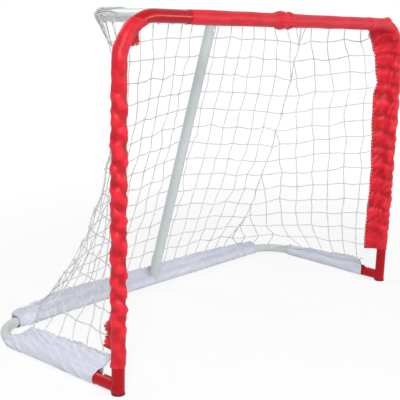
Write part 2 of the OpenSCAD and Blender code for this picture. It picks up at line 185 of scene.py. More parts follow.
def smooth_step(x, low, high):
    t = np.clip((x - low) / (high - low), 0, 1)
    return t * t * (3 - 2 * t)


def crest(x, place, width):
    """A soft ridge, 1 high, where x passes a place."""
    return np.exp(-((x - place) / width) ** 2)


def wave(s, pitch, shift=0):
    return np.cos(2 * math.pi * s / pitch + shift)


def folds(rng, x, y, lean, spacing, layers, patchy, spread):
    """Sharp-backed creases that run at lean to x, uneven in spacing, depth and reach. From 0 to 1."""
    total = 0
    for _ in range(layers):
        turn = lean + rng.normal(0, spread)
        step = spacing * rng.uniform(0.55, 1.7)
        a, b, c, d = rng.uniform(0, 2 * math.pi, 4)
        across = -x * math.sin(turn) + y * math.cos(turn)
        along = x * math.cos(turn) + y * math.sin(turn)
        drift = 0.35 * np.sin(along / (2.1 * step) + a) + 0.2 * np.sin(along / (0.9 * step) + b)
        ridge = 1 - np.abs(np.sin(math.pi * (across / step + drift) + c))
        reach = 0.5 + 0.5 * np.sin(along / (1.4 * step) + d + 1.3 * np.sin(across / (1.8 * step) + b))
        total = total + ridge ** 1.6 * (1 - patchy + patchy * reach)
    return total / layers * 1.6


def even_section(outline, count, smoothing):
    """An outline as count even points, smoothed, and the length along it to each of them."""
    at = np.linspace(0, lengths_along(outline)[-1], count)
    section = points_at(outline, at)
    for _ in range(smoothing):
        section[1:-1] = (section[:-2] + 2 * section[1:-1] + section[2:]) / 4
    return section, at


def arc(radius, start, end, count):
    """Points round the tube's axis, from one angle to another."""
    turns = np.linspace(start, end, count)
    return radius * np.stack([np.cos(turns), np.sin(turns)], axis=1)


def teardrop(ring_r, pinch, tip, gap, count):
    """Section of cloth round a tube: a ring, and two layers that meet at pinch and run on to tip."""
    ring = arc(ring_r, math.pi, math.acos(ring_r / pinch), ARC_POINTS)
    half = np.concatenate([ring, [(pinch, gap), (tip - gap, gap), (tip, 0)]])
    return even_section(np.concatenate([half[::-1], half[1:] * (1, -1)]), count, 3)


def turned(section, angle):
    c, s = np.cos(angle), np.sin(angle)
    return np.stack([section[..., 0] * c - section[..., 1] * s,
                     section[..., 0] * s + section[..., 1] * c], axis=-1)


def sheet_normals(places):
    return unit(np.cross(np.gradient(places, axis=1), np.gradient(places, axis=0)))


def lay_grid(bm, places, lengths):
    """A grid of faces through rows and columns of places, with its UV map in metres."""
    rows, cols = places.shape[:2]
    uv = bm.loops.layers.uv.verify()
    made = bmesh.ops.create_grid(bm, x_segments=cols - 1, y_segments=rows - 1, size=0.5)["verts"]
    for vert, place in zip(made, places.reshape(-1, 3).tolist()):
        vert.co = place
    first = len(bm.faces) - (rows - 1) * (cols - 1)
    bm.faces.ensure_lookup_table()
    marks = lengths.tolist()
    for k in range((rows - 1) * (cols - 1)):
        j, i = divmod(k, cols - 1)
        corners = (marks[j][i], marks[j][i + 1], marks[j + 1][i + 1], marks[j + 1][i])
        for loop, mark in zip(bm.faces[first + k].loops, corners):
            loop[uv].uv = mark
    return made


def level_nearby(push):
    """The mean height of the cloth over the rows round each row."""
    reach = len(push) // 12
    padded = np.pad(push.mean(axis=1), reach, mode="edge")
    return np.convolve(padded, np.full(2 * reach + 1, 1 / (2 * reach + 1)), "valid")[:, None]


def close_up(bm):
    """Joins the points that fall together and turns every face outward."""
    bmesh.ops.remove_doubles(bm, verts=bm.verts, dist=1e-6)
    bmesh.ops.recalc_face_normals(bm, faces=bm.faces)


def put_in_scene(name, data):
    made = bpy.data.objects.new(name, data)
    bpy.context.scene.collection.objects.link(made)
    return made


def add_piece(name, bm, finish, slot, *replaced):
    """Hands a finished mesh over as a piece that rides on the goal's frame."""
    mesh = bpy.data.meshes.new(name)
    bm.to_mesh(mesh)
    bm.free()
    mesh.shade_smooth()
    mesh.materials.append(finish)
    piece = put_in_scene(name, mesh)
    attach(piece, "frame")
    if replaced:
        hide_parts(*replaced)
    return piece


def wrap_cloth(name, node, route, section, at, ends, shape, rows, finish, slot, thick):
    """Cloth along a route, between the ends of each column. shape moves the section's points."""
    first, last = (np.broadcast_to(end, at.shape) for end in ends)
    s = first + (last - first) * np.linspace(0, 1, rows)[:, None]
    across = np.broadcast_to(at, s.shape)
    points, push, angle = shape(np.broadcast_to(section, s.shape + (2,)), s, across)
    points = turned(points, angle)
    centre, out, other = route(s)
    places = centre + out * points[..., :1] + other * points[..., 1:]
    normal = sheet_normals(places)
    if np.sum(normal * (places - centre), axis=-1).mean() <= 0:
        normal = -normal
    edge = smooth_step(np.minimum(across, at[-1] - across), 0, 4 * MM)
    places = places + normal * (push * edge)[..., None]
    places[..., 2] = np.maximum(places[..., 2], FLOOR_GAP)
    places[:, -1] = places[:, 0]
    # rise: how high the cloth stands over the rows round it. The cloth finish paints shade from it,
    # darker in the hollows of the folds.
    rise = 0.5 + (push - level_nearby(push)) / (4 * max(push.std(), 1.2 * MM))
    bm = bmesh.new()
    mark = bm.verts.layers.float.new("rise")
    for vert, value in zip(lay_grid(bm, places, stack(across, s, 0)[..., :2]), rise.ravel().tolist()):
        vert[mark] = value
    close_up(bm)
    piece = add_piece(name, bm, finish, slot, node)
    wall = piece.modifiers.new("wall", "SOLIDIFY")
    wall.thickness = thick
    wall.offset = -1
    return piece


# ---- finishes --------------------------------------------

def fill(node, **values):
    """Sets a node's sockets, named with _ for a space."""
    for name, value in values.items():
        node.inputs[name.replace("_", " ")].default_value = value


class Wiring:
    """Adds nodes to the node tree of a material or a world, and links them."""

    def __init__(self, owner):
        owner.use_nodes = True
        self.nodes = owner.node_tree.nodes
        self.link = owner.node_tree.links.new

    def node(self, kind, vector=None, props=(), **values):
        made = self.nodes.new("ShaderNode" + kind)
        for key, value in dict(props).items():
            setattr(made, key, value)
        fill(made, **values)
        if vector is not None:
            self.link(vector, made.inputs["Vector"])
        return made

    def noise(self, place, scale, detail, rough=0.5):
        return self.node("TexNoise", place, Scale=scale, Detail=detail, Roughness=rough).outputs["Fac"]

    def math(self, operation, a, b):
        made = self.node("Math", props={"operation": operation})
        for source, socket in zip((a, b), made.inputs):
            if isinstance(source, (int, float)):
                socket.default_value = source
            else:
                self.link(source, socket)
        return made.outputs[0]

    def shown_directly(self):
        """One for a ray from the camera, or from glossy or clear surfaces, and zero for soft light."""
        rays = self.node("LightPath").outputs
        both = self.math("MAXIMUM", rays["Is Camera Ray"], rays["Is Glossy Ray"])
        return self.math("MAXIMUM", both, rays["Is Transmission Ray"])

    def mix(self, share, first, second, output):
        """Feeds an output with a blend of two shaders."""
        mix = self.node("MixShader")
        for source, socket in zip((share, first.outputs[0], second.outputs[0]), mix.inputs):
            self.link(source, socket)
        self.link(mix.outputs[0], self.nodes[output].inputs["Surface"])


class Finish(Wiring):
    """One material: its shader and the pattern nodes that feed it."""

    def __init__(self, name, color, rough, **sockets):
        self.material = bpy.data.materials.new(name)
        super().__init__(self.material)
        self.skin = self.nodes["Principled BSDF"]
        fill(self.skin, Base_Color=(*color, 1), Roughness=rough, **sockets)
        coords = self.node("TexCoord").outputs
        self.place, self.uv = coords["Object"], coords["UV"]

    def tint(self, source, low, high, color_low, color_high):
        ramp = self.node("ValToRGB")
        stops = ramp.color_ramp.elements
        for stop, position, color in zip(stops, (low, high), (color_low, color_high)):
            stop.position = position
            stop.color = (*color, 1)
        self.link(source, ramp.inputs["Fac"])
        self.link(ramp.outputs["Color"], self.skin.inputs["Base Color"])

    def rough(self, source, low, high):
        spread = self.node("MapRange", To_Min=low, To_Max=high)
        self.link(source, spread.inputs["Value"])
        self.link(spread.outputs["Result"], self.skin.inputs["Roughness"])

    def bump(self, height, strength, distance, under=None):
        bump = self.node("Bump", Strength=strength, Distance=distance)
        self.link(height, bump.inputs["Height"])
        if under is not None:
            self.link(under, bump.inputs["Normal"])
        self.link(bump.outputs["Normal"], self.skin.inputs["Normal"])
        return bump.outputs["Normal"]


def baked_paint(name, color, dark, rough, coat):
    """Paint baked on steel tube: faint orange peel, slight unevenness and a little dulling."""
    paint = Finish(name, color, rough, Coat_Weight=coat, Coat_Roughness=0.08,
                   Specular_IOR_Level=0.13)
    paint.tint(paint.noise(paint.place, 9.0, 4.0), 0.35, 0.7, dark, color)
    paint.rough(paint.noise(paint.place, 120.0, 6.0, 0.7), rough - 0.08, rough + 0.12)
    paint.bump(paint.noise(paint.place, 420.0, 2.0), 0.12, 0.0003)
    return paint.material


def woven(name, color, dark, rough, pitch, depth, **sockets):
    """Woven cloth: over-and-under threads, slubs and soft creases, with painted shade that darkens it in
    the hollows of its folds.
    """
    cloth = Finish(name, color, rough, **sockets)
    warp, weft = (cloth.node("TexWave", cloth.uv, props={"bands_direction": way}, Scale=0.314 / pitch,
                             Distortion=0.6).outputs["Fac"] for way in "XY")
    weave = cloth.math("MULTIPLY", warp, weft)
    # Painted shade: the colour runs towards the dark one where the cloth's rise is low, in the hollows of
    # its folds. The cloudy noise adds a random tone.
    rise = cloth.node("Attribute", props={"attribute_name": "rise"})
    painted_fold_shade = cloth.math("MULTIPLY", rise.outputs["Fac"], 0.6)
    cloudy = cloth.math("MULTIPLY", cloth.noise(cloth.uv, 26.0, 5.0, 0.6), 0.4)
    cloth.tint(cloth.math("ADD", painted_fold_shade, cloudy), 0.26, 0.70, dark, color)
    cloth.rough(cloth.noise(cloth.uv, 300.0, 3.0), rough - 0.06, rough + 0.1)
    under = cloth.bump(cloth.noise(cloth.uv, 70.0, 6.0, 0.65), 0.35, 0.0012)
    cloth.bump(weave, 0.12, depth, under)
    return cloth.material


def twisted_twine(name):
    """Three-strand twine: slanting grooves round the cord, with soft fibre between them."""
    twine = Finish(name, (0.80, 0.80, 0.80), 0.72, Sheen_Weight=0.15)
    slant = twine.node("Mapping", twine.uv, Rotation=(0, 0, math.radians(38)))
    lay = twine.node("TexWave", slant.outputs["Vector"], Scale=150.0, Distortion=0.8, Detail=2.0)
    twine.tint(twine.noise(twine.place, 35.0, 3.0), 0.3, 0.7, (0.56, 0.57, 0.56), (0.76, 0.77, 0.76))
    under = twine.bump(twine.noise(twine.place, 1500.0, 3.0), 0.3, 0.0002)
    twine.bump(lay.outputs["Fac"], 0.7, 0.0006, under)
    return twine.material


def plated(name, color, rough):
    """Bright plating with fine handling marks."""
    metal = Finish(name, color, rough, Metallic=1.0)
    marks = metal.noise(metal.place, 900.0, 5.0)
    metal.rough(marks, rough - 0.08, rough + 0.15)
    metal.tint(metal.noise(metal.place, 160.0, 3.0), 0.3, 0.7, tuple(0.8 * c for c in color), color)
    metal.bump(marks, 0.15, 0.0001)
    return metal.material


def moulded(name, color):
    """Moulded plastic with a fine spark-eroded grain."""
    plastic = Finish(name, color, 0.45)
    grain = plastic.node("TexVoronoi", plastic.place, Scale=900.0)
    plastic.bump(grain.outputs["Distance"], 0.25, 0.0002)
    dust = plastic.noise(plastic.place, 60.0, 5.0)
    plastic.tint(dust, 0.35, 0.75, color, tuple(c + 0.02 for c in color))
    plastic.rough(dust, 0.35, 0.6)
    return plastic.material


RED_PAINT = baked_paint("red_tube_paint", (0.48, 0.003, 0.008), (0.38, 0.002, 0.006), 0.20, 0.08)
WHITE_PAINT = baked_paint("white_tube_paint", (0.64, 0.68, 0.67), (0.56, 0.60, 0.59), 0.34, 0.25)
GREY_PAINT = baked_paint("pale_grey_tube_paint", (0.58, 0.63, 0.63), (0.52, 0.57, 0.57), 0.36, 0.25)
# For both cloths the second colour is the painted shade in the fold hollows, and the dark end of the
# random cloudy tone.
SATIN = woven("red_satin", (0.78, 0.014, 0.032), (0.40, 0.002, 0.010), 0.44, 0.45 * MM, 0.00012,
              Sheen_Weight=0.05, Sheen_Roughness=0.35, Sheen_Tint=(1.0, 0.25, 0.3, 1.0),
              Anisotropic=0.35, Specular_IOR_Level=0.30)
SKIRT_CLOTH = woven("white_skirt_cloth", (0.68, 0.70, 0.78), (0.53, 0.56, 0.65), 0.50, 0.6 * MM,
                    0.00015, Sheen_Weight=0.1)
TWINE = twisted_twine("white_net_twine")
PLATED = plated("bright_plated_steel", (0.72, 0.73, 0.75), 0.28)
SPRING = plated("blued_spring_steel", (0.35, 0.36, 0.39), 0.38)
BLACK = moulded("black_moulded_plastic", (0.012, 0.011, 0.012))

RED_CLOTH = (SATIN, "red_satin", 0.7 * MM)
WHITE_CLOTH = (SKIRT_CLOTH, "white_fabric", 0.8 * MM)

NODE_FINISH = {
    "front_frame": RED_PAINT, "post_foot": BLACK, "base_tube": WHITE_PAINT, "top_frame": WHITE_PAINT,
    "back_bar": GREY_PAINT, "screw": PLATED, "button": PLATED, "spring": SPRING}


def finish_nodes():
    for name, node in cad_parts.items():
        for ending, finish in NODE_FINISH.items():
            if ending in name:
                node.data.materials.clear()
                node.data.materials.append(finish)


# ---- red sleeves -----------------------------------------

RING_R = 14.3 * MM
PINCH_R = 21 * MM
FLAP_R = {-1: 39 * MM, 1: 50 * MM}
FLAP_GAP = 0.95 * MM
SLEEVE_COLS = 88
BAR_COLS = 72
# Where a crossbar sleeve's cloth begins, in radians from the top of the bar towards its back.
BAR_SEAM = 2.6
# How deep a line of stitches, or the drawn cloth, may press in towards the tube.
PRESSED = 0.6 * MM
STITCH_W = 1.2 * MM
# How far the right flap reaches from the tube's axis, by the place along it, both in mm.
RIGHT_REACH = [(80, 49.5), (300, 48.5), (400, 51), (500, 55), (525, 54), (550, 49.5), (575, 54.5),
               (600, 58), (615, 61.5), (650, 63.5), (670, 63), (690, 61.5), (710, 58.5), (730, 54),
               (748, 48), (760, 41), (780, 28), (800, 20), (827, 17)]
# The tuck that stands out past the right corner, in mm, by the turn round the bend.
CORNER_TUCK = [(1.25, 0), (1.31, 0.8), (1.36, 6.8), (1.44, 3.6), (1.57, 0.8)]
# Radius of the left crossbar sleeve by the place along the bar, both in mm. Two gathered lobes stand
# over the joint.
PUFF = [(-400, 13.5), (-319, 13.5), (-312, 13.6), (-290, 14.2), (-56, 14.3), (-51, 14.9), (-44, 17.6),
        (-34, 19.0), (-24, 18.2), (-17, 16.4), (-15, 16.0), (-12, 16.6), (-6, 18.0), (0, 18.0),
        (5, 16.6), (8.5, 14.9), (12, 15.4)]


def ragged_foot(s):
    """The stretch of the left flap that flares and frays above its foot."""
    return crest(s, 0.088, np.where(s > 0.088, 0.068, 0.022))


def flap_reach(s, side):
    """How far a post sleeve's flap reaches from the tube's axis."""
    if side > 0:
        return read_off(RIGHT_REACH, s) + 0.7 * MM * np.sin(s / 0.009) * np.sin(s / 0.037)
    reach = 1.5 * MM * np.sin(s / 0.011) * np.sin(s / 0.043 + 1) + 2 * MM * np.sin(s / 0.07 + 2)
    reach = reach + ragged_foot(s) * (5 * MM + 3 * MM * np.sin(s / 0.0038))
    reach = reach - (1 - smooth_step(s, 0.052, 0.090)) * 16 * MM
    return FLAP_R[-1] + reach - 7 * MM * crest(s, 0.662, 0.012)


def flap_sway(s, side):
    """How far the flap's edge swings from its even direction, in radians."""
    if side > 0:
        return 0.10 * np.sin(s / 0.05 + 2) + 0.04 * np.sin(s / 0.012)
    sway = 0.10 * np.sin(s / 0.045 + 0.5) + 0.05 * np.sin(s / 0.013)
    return sway + 0.6 * crest(s, 0.690, 0.030) - ragged_foot(s) * (0.80 + 0.10 * np.sin(s / 0.006))


def hang_flap(flat, s, side):
    """Draws the flap of a flat section out to its reach: its points, their weight and their turn."""
    weight = np.clip((flat[..., 0] - RING_R) / (FLAP_R[side] - RING_R), 0, 1.2)
    points = flat.copy()
    points[..., 0] += (flap_reach(s, side) - FLAP_R[side]) * weight
    return points, weight, FLAP_TURN + weight * flap_sway(s, side)


def lapped_seam(s, across, middle, place, slope):
    """The edge of an upper piece of cloth that lies over the lower one, fading upwards."""
    above = s - place - slope * (across - middle)
    return smooth_step(above, -0.0012, 0.0012) * np.exp(-np.maximum(above, 0) / 0.030)


def swell(flat, s):
    """Soft puffs that wander round a sleeve, so that its two edges wave out of step."""
    theta = np.arctan2(flat[..., 1], flat[..., 0])
    slow = np.sin(s / 0.0066 + 2.2 * np.sin(theta) + 0.8 * np.sin(s / 0.031))
    quick = np.sin(s / 0.0052 + 2 * theta + 1) * np.sin(s / 0.0093 - theta)
    return slow, quick


def left_post_sleeve():
    rng = np.random.default_rng(41)
    section, at = teardrop(RING_R, PINCH_R, FLAP_R[-1], FLAP_GAP, SLEEVE_COLS)
    skew = np.clip(turned(section, FLAP_TURN)[:, 0] / RING_R, -1.3, 1.3)
    foot = 56 * MM
    top = BEND_Z + CORNER_R * np.radians(64.5 - 8 * skew)

    def shape(flat, s, across):
        points, weight, angle = hang_flap(flat, s, -1)
        slow, quick = swell(flat, s)
        calm = 1 - 0.75 * smooth_step(s, 0.53, 0.60)
        low_calm = 0.35 + 0.65 * smooth_step(s, 0.06, 0.16)
        long_folds = folds(rng, across, s, 1.15, 17 * MM, 3, 0.9, 0.3)
        cross = folds(rng, across, s, 0.5, 24 * MM, 3, 0.95, 0.4)
        gather = wave(s, 11.5 * MM, 1.2 * np.sin(s / 0.03)) * smooth_step(weight, 0.1, 0.8)
        seam = lapped_seam(s, across, at.mean(), 0.379, -0.5)
        hem = crest(s, foot + 10 * MM, STITCH_W)
        low_band = 1 - smooth_step(s, foot + 8 * MM, foot + 10.5 * MM)
        stitch = crest(top - s, 6 * MM, 1.1 * MM) + 0.8 * crest(top - s, 13 * MM, 1.1 * MM)
        pleats = smooth_step(s, BEND_Z - 20 * MM, BEND_Z + 30 * MM) * wave(s - BEND_Z, 9.5 * MM)
        loose_cloth = (1.6 * slow + 1.4 * quick + 1.8 * long_folds + 1.7 * cross) * MM
        push = calm * (low_calm * loose_cloth + 0.3 * MM * gather) + 1.8 * MM * seam
        push = push - PRESSED * (hem + stitch) + (0.5 * low_band + 0.12 * pleats - 0.3) * MM
        return points, np.maximum(push, -PRESSED), angle

    piece = wrap_cloth("left_post_cloth", "left_post_sleeve", lambda s: post_route(s, -1), section, at,
                       (foot, top), shape, 270, *RED_CLOTH)


def right_post_sleeve():
    rng = np.random.default_rng(67)
    section, at = teardrop(RING_R, PINCH_R, FLAP_R[1], FLAP_GAP, SLEEVE_COLS)
    foot = 92 * MM
    top = BEND_Z + CORNER_R * math.pi / 2 + BEND_X - 327 * MM

    def shape(flat, s, across):
        points, weight, angle = hang_flap(flat, s, 1)
        turn = np.clip((s - BEND_Z) / CORNER_R, 0, math.pi / 2)
        outward = np.clip(turned(points, FLAP_TURN)[..., 0] / RING_R, 0, 1)
        slow, quick = swell(flat, s + 17 * MM)
        deep = folds(rng, across, s, 0.95, 22 * MM, 3, 0.85, 0.25)
        down = folds(rng, across, s, 1.35, 16 * MM, 3, 0.9, 0.25)
        gather = wave(s, 12.5 * MM, 1.5 * np.sin(s / 0.027)) * smooth_step(weight, 0.05, 0.8)
        round_bend = smooth_step(turn, 0.02, 0.3) * (1 - smooth_step(turn, 1.1, 1.3))
        pleats = round_bend * (0.5 + 0.5 * np.cos(turn * 40 + 1.5 * np.sin(across * 90)))
        pleats = pleats * smooth_step(outward, 0.1, 0.8)
        tuck = np.interp(turn, *zip(*CORNER_TUCK)) * outward ** 1.5
        slot_mark = crest(s, 0.600, 4 * MM) * crest(across, at[-1] * 0.52, 2.5 * MM)
        seam = lapped_seam(s, across, at.mean(), 0.215, 0.5)
        hem = crest(s, foot + 11 * MM, STITCH_W) + crest(top - s, 7 * MM, STITCH_W)
        low_calm = 0.35 + 0.65 * smooth_step(s, 0.10, 0.17)
        bend_calm = 1 - 0.4 * smooth_step(turn, 0.2, 0.8) - 0.4 * smooth_step(turn, 1.2, 1.55)
        snug = 1 - 0.75 * outward * smooth_step(turn, 0.05, 0.4)
        loose_cloth = (1.2 * slow + 1.2 * quick + 2.8 * deep + 1.6 * down) * MM
        push = low_calm * bend_calm * snug * loose_cloth - PRESSED * hem
        push = push + (0.25 * gather + 0.8 * pleats + 1.6 * seam - 2.0 * slot_mark - 0.3) * MM
        calm = 1 - 0.6 * smooth_step(s, top - 50 * MM, top - 10 * MM)
        push = np.maximum(push, -PRESSED) * calm + 0.8 * MM * (1 - calm)
        return points, push + tuck * MM, angle

    piece = wrap_cloth("right_post_cloth", "right_post_sleeve", lambda s: post_route(s, 1), section, at,
                       (foot, top), shape, 290, *RED_CLOTH)


def bar_sleeve(name, node, x0, x1, seed, radius, depth):
    """Cloth tube laid round the crossbar, closed by a lapped seam underneath."""
    rng = np.random.default_rng(seed)
    section = arc(RING_R, BAR_SEAM, BAR_SEAM + 2 * math.pi, BAR_COLS)
    at = np.linspace(0, 2 * math.pi * RING_R, BAR_COLS)

    def shape(ring, s, across):
        size, pleat = radius(s, across)
        lines = folds(rng, across, s, 1.48, 30 * MM, 2, 0.7, 0.08)
        lapped = crest(across, at[-1] * 0.08, 3 * MM)
        hem = crest(np.minimum(s - x0, x1 - s), 7 * MM, 1.1 * MM)
        push = depth * lines + pleat + (0.6 * lapped - 0.45 * hem - 0.2) * MM
        return ring * (size / RING_R)[..., None], push, 0

    piece = wrap_cloth(name, node, bar_route, section, at, (x0, x1), shape,
                       int((x1 - x0) / (1.7 * MM)), *RED_CLOTH)


def puffed(s, across):
    """Radius and gathers of the left crossbar sleeve."""
    x = s / MM
    gathers = 0.55 * np.cos(across / MM * 0.85 + 0.7 * np.sin(x / 5))
    gathers = gathers + 0.35 * np.cos(across / MM * 1.7 + 1)
    return read_off(PUFF, s), gathers * smooth_step(x, -54, -48) * MM


def plain(s, across):
    return RING_R + 0.25 * MM * np.sin(s / 0.02) + 0 * across, 0


# ---- white skirts ----------------------------------------

SKIRT_RING_R = 13.9 * MM
SKIRT_WIDE = 62 * MM
SKIRT_COLS = 96
BACK_SKIRT_HALF = 438 * MM
# How far each skirt's hem stands from its tube's axis, by the place along the tube, both in mm.
SIDE_HEM = {-1: [(27, 58), (40, 54), (60, 50), (100, 48.5), (140, 50), (180, 47), (220, 46), (260, 44),
                 (280, 42), (325, 34)],
            1: [(51, 48), (65, 51), (103, 47), (126, 44), (158, 39.5), (195, 35), (228, 31.5), (248, 30),
                (283, 25), (322, 19)]}
# Where each side skirt ends, in mm along the tube: front hem, front foot, back hem and back foot.
SKIRT_ENDS = {-1: (40, 58, 278, 325), 1: (53, 52, 318, 322)}
BACK_HEM = [(-438, 15), (-420, 19), (-400, 23), (-349, 28), (-333, 36), (-316, 41), (-227, 38), (-80, 36),
            (40, 35), (171, 35), (292, 29), (394, 23), (432, 20)]


def side_skirt(name, node, side, seed):
    """Cloth round a side of the base, standing up and out to a scalloped hem."""
    rng = np.random.default_rng(seed)
    section, at = teardrop(SKIRT_RING_R, 26 * MM, SKIRT_WIDE, 1.1 * MM, SKIRT_COLS)
    height = np.clip(section[:, 0] / SKIRT_WIDE, 0, 1)
    front_top, front_foot, back_top, back_foot = (place * MM for place in SKIRT_ENDS[side])
    ends = (front_foot + (front_top - front_foot) * height ** 1.3,
            back_foot + (back_top - back_foot) * height)

    def shape(flat, s, across):
        v = np.linspace(0, 1, len(s))[:, None]
        weight = np.clip((flat[..., 0] - SKIRT_RING_R) / (SKIRT_WIDE - SKIRT_RING_R), 0, 1.1)
        scallop = (1.2 * wave(s, 46 * MM) + 0.8 * np.sin(s / 0.017)) * MM
        points = flat.copy()
        points[..., 0] += (read_off(SIDE_HEM[side], s) + scallop - SKIRT_WIDE) * weight
        swing = 0.10 * np.sin(s / 0.06 + 1 + side) + 0.05 + 0.05 * np.sin(s / 0.021)
        diagonal = folds(rng, across, s, 1.25, 24 * MM, 3, 0.85, 0.25)
        pulled = folds(rng, across, s, 0.25, 17 * MM, 3, 0.85, 0.4) * smooth_step(weight, 0.1, 0.9)
        crush = folds(rng, across, s, 1.1, 11 * MM, 3, 0.6, 0.6) * smooth_step(v, 0.78, 0.95)
        hem = crest(flat[..., 0], 56 * MM, 1.4 * MM)
        cuff = crest(v, 0.03, 0.006) + crest(v, 0.97, 0.006)
        low = smooth_step(turned(flat, SKIRT_TURN)[..., 1], -13.8 * MM, -1 * MM)
        loose_cloth = (3.6 * diagonal + 2.2 * pulled + 3.6 * crush - 0.5 * hem - 0.4 * cuff) * MM
        push = loose_cloth * (0.40 + 0.60 * low) - 0.25 * MM
        return points, push, SKIRT_TURN + weight * swing

    piece = wrap_cloth(name, node, lambda s: base_route(s, side), section, at, ends, shape, 150,
                       *WHITE_CLOTH)


def back_skirt():
    """Cloth round the back of the base and up in front of the centre bar's foot."""
    rng = np.random.default_rng(23)
    ring = arc(SKIRT_RING_R, -0.12, 0.12 - 1.5 * math.pi, ARC_POINTS)
    hem_z = SKIRT_WIDE / MM
    outer = np.array([(14.6, hem_z), (15, hem_z - 1), (15.1, 20)]) * MM
    inner = [(1.5, 14.6), (5.5, 17), (10, 22), (12.6, 28), (13.3, hem_z - 1), (14.6, hem_z)]
    section, at = even_section(np.concatenate([outer, ring, np.array(inner) * MM]), SKIRT_COLS, 2)
    height = np.clip(section[:, 1] / SKIRT_WIDE, 0, 1)
    ends = (-BACK_SKIRT_HALF, BACK_SKIRT_HALF - 6 * MM * height)

    def shape(flat, s, across):
        weight = np.clip((flat[..., 1] - 14 * MM) / (SKIRT_WIDE - 14 * MM), 0, 1)
        x = s / MM
        scallop = (1.3 * wave(s, 46.9 * MM) + 0.7 * np.sin(s / 0.019)) * MM
        points = flat.copy()
        points[..., 1] += (read_off(BACK_HEM, s) + scallop - SKIRT_WIDE) * weight
        crumple = smooth_step(-x, 290, 370)
        waves = 1.6 * np.sin(s / 0.05) + np.sin(s / 0.019 + 2)
        waves = waves + crumple * 2 * np.sin(s / 0.007 + 3 * weight)
        points[..., 0] += np.abs(waves) * MM * weight
        diagonal = folds(rng, across, s, 1.1, 30 * MM, 3, 0.85, 0.4)
        pulled = folds(rng, across, s, 0.12, 19 * MM, 3, 0.85, 0.3)
        crush = folds(rng, across, s, 0.9, 8 * MM, 3, 0.5, 0.6) * crumple
        tight = smooth_step(x, -436, -395)
        hem = crest(flat[..., 1], 54 * MM, 1.6 * MM)
        low = smooth_step(flat[..., 1], -13.8 * MM, -6 * MM)
        front = smooth_step(-flat[..., 0], -13 * MM, 13 * MM)
        near_bar = 1 - 0.8 * crest(x, 0, 40)
        push = (2.4 * diagonal + 2.4 * pulled + 4.0 * crush - 0.5 * hem) * MM
        push = push * (0.06 + 0.94 * low) * (0.5 + 0.5 * front + 0.6 * crumple) * near_bar
        push = push * (0.25 + 0.75 * tight) - 0.25 * MM
        button = crest(np.abs(x), 30, 5) * crest(flat[..., 0], 0, 6 * MM)
        return points, push + 1.6 * MM * button * (flat[..., 1] > 0), 0

    piece = wrap_cloth("back_skirt_cloth", "back_skirt", back_route, section, at, ends, shape, 300,
                       *WHITE_CLOTH)


# ---- twine -----------------------------------------------

KNOT_R = 2.5 * MM
FOLD_KNOT_R = 3.4 * MM
LACE_R = 0.8 * MM

def spline(nodes, steps):
    """A smooth path through nodes, steps points to a span."""
    nodes = np.asarray(nodes, float)
    padded = np.concatenate([2 * nodes[:1] - nodes[1:2], nodes, 2 * nodes[-1:] - nodes[-2:-1]])
    t = np.linspace(0, 1, steps, endpoint=False)[:, None]
    parts = []
    for a, b, c, d in zip(padded, padded[1:], padded[2:], padded[3:]):
        parts.append(0.5 * (2 * b + (c - a) * t + (2 * a - 5 * b + 4 * c - d) * t ** 2
                            + (3 * b - a - 3 * c + d) * t ** 3))
    return np.concatenate(parts + [nodes[-1:]])


def lay_cord(bm, path, radius=TWINE_R, sides=6):
    """A round cord along a path, closed to a point at each end."""
    path = np.asarray(path, float)
    step = unit(np.gradient(path, axis=0))
    side = np.cross(step[0], (0.31, 0.52, 0.79))
    turns = np.linspace(0, 2 * math.pi, sides + 1)
    rings = []
    for k, (place, ahead) in enumerate(zip(path, step)):
        side = unit(side - ahead * np.dot(side, ahead))
        size = 0 if k in (0, len(path) - 1) else radius
        rings.append(ringed(place, size, turns[:, None], side, np.cross(ahead, side)))
    places = np.array(rings)
    places[:, -1] = places[:, 0]
    lay_grid(bm, places, stack(turns * radius, lengths_along(path)[:, None], 0)[..., :2])


def tie_knot(bm, rng, place, size=KNOT_R):
    turn = Matrix.Rotation(rng.uniform(0, math.pi), 4, Vector(rng.normal(size=3)).normalized())
    spread = Matrix.Diagonal((1.25, 0.85, 1.0, 1.0))
    bmesh.ops.create_uvsphere(bm, u_segments=8, v_segments=5, radius=size,
                              matrix=Matrix.Translation(place) @ turn @ spread)


def finish_twine(name, bm, node):
    close_up(bm)
    add_piece(name, bm, TWINE, "white_twine", node)


# ---- net -------------------------------------------------

MESH = 44 * MM
ROWS = 15
FINE = 4
FINE_ROWS, FINE_COLS = FINE * ROWS, 24
RELAX_PASSES = 600
DROOP = 1.2 * MM
SLACK = 1.0 * MM
NET_CLEAR = TUBE_R + 1.5 * TWINE_R
TOP_FOLD = (TOP_BEND + TOP_BEND_END) / 2
# From the end of the top frame's bend to the middle of its back tube.
TOP_BACK_HALF = 303.7 * MM
# Where rows of a side net meet the post's flap: the row, and the place along the post in metres.
EDGE_ROWS = {-1: [(0, 0.060), (ROWS - 2, 0.627), (ROWS - 1, 0.700), (ROWS, 0.729)],
             1: [(0, 0.060), (ROWS - 2, 0.627), (ROWS - 1, 0.728), (ROWS, 0.765)]}
# The line where side and back net are laced together, drawn forward and inward at the waist, in mm.
FOLD_LINE = [(361, 211, 45), (344, 207, 57), (328, 198, 74), (319, 165, 116), (312, 140, 155),
             (308, 118, 200), (301, 86, 275), (299, 57, 345), (298, 34, 425), (303, 11, 510),
             (313, 1, 590), (326, -2, 640), (345, 6, 675), (358, 14, 699)]
# How far the fold's points slip down, which slants the upper rows of mesh towards it.
FOLD_DROP = 18 * MM


def flap_edge(s, side, inset):
    """Points a little inside the free edge of a post sleeve's flap."""
    centre, out, back = post_route(s, side)
    reach = (flap_reach(s, side) - inset)[:, None]
    return ringed(centre, reach, (FLAP_TURN + flap_sway(s, side))[:, None], out, back)


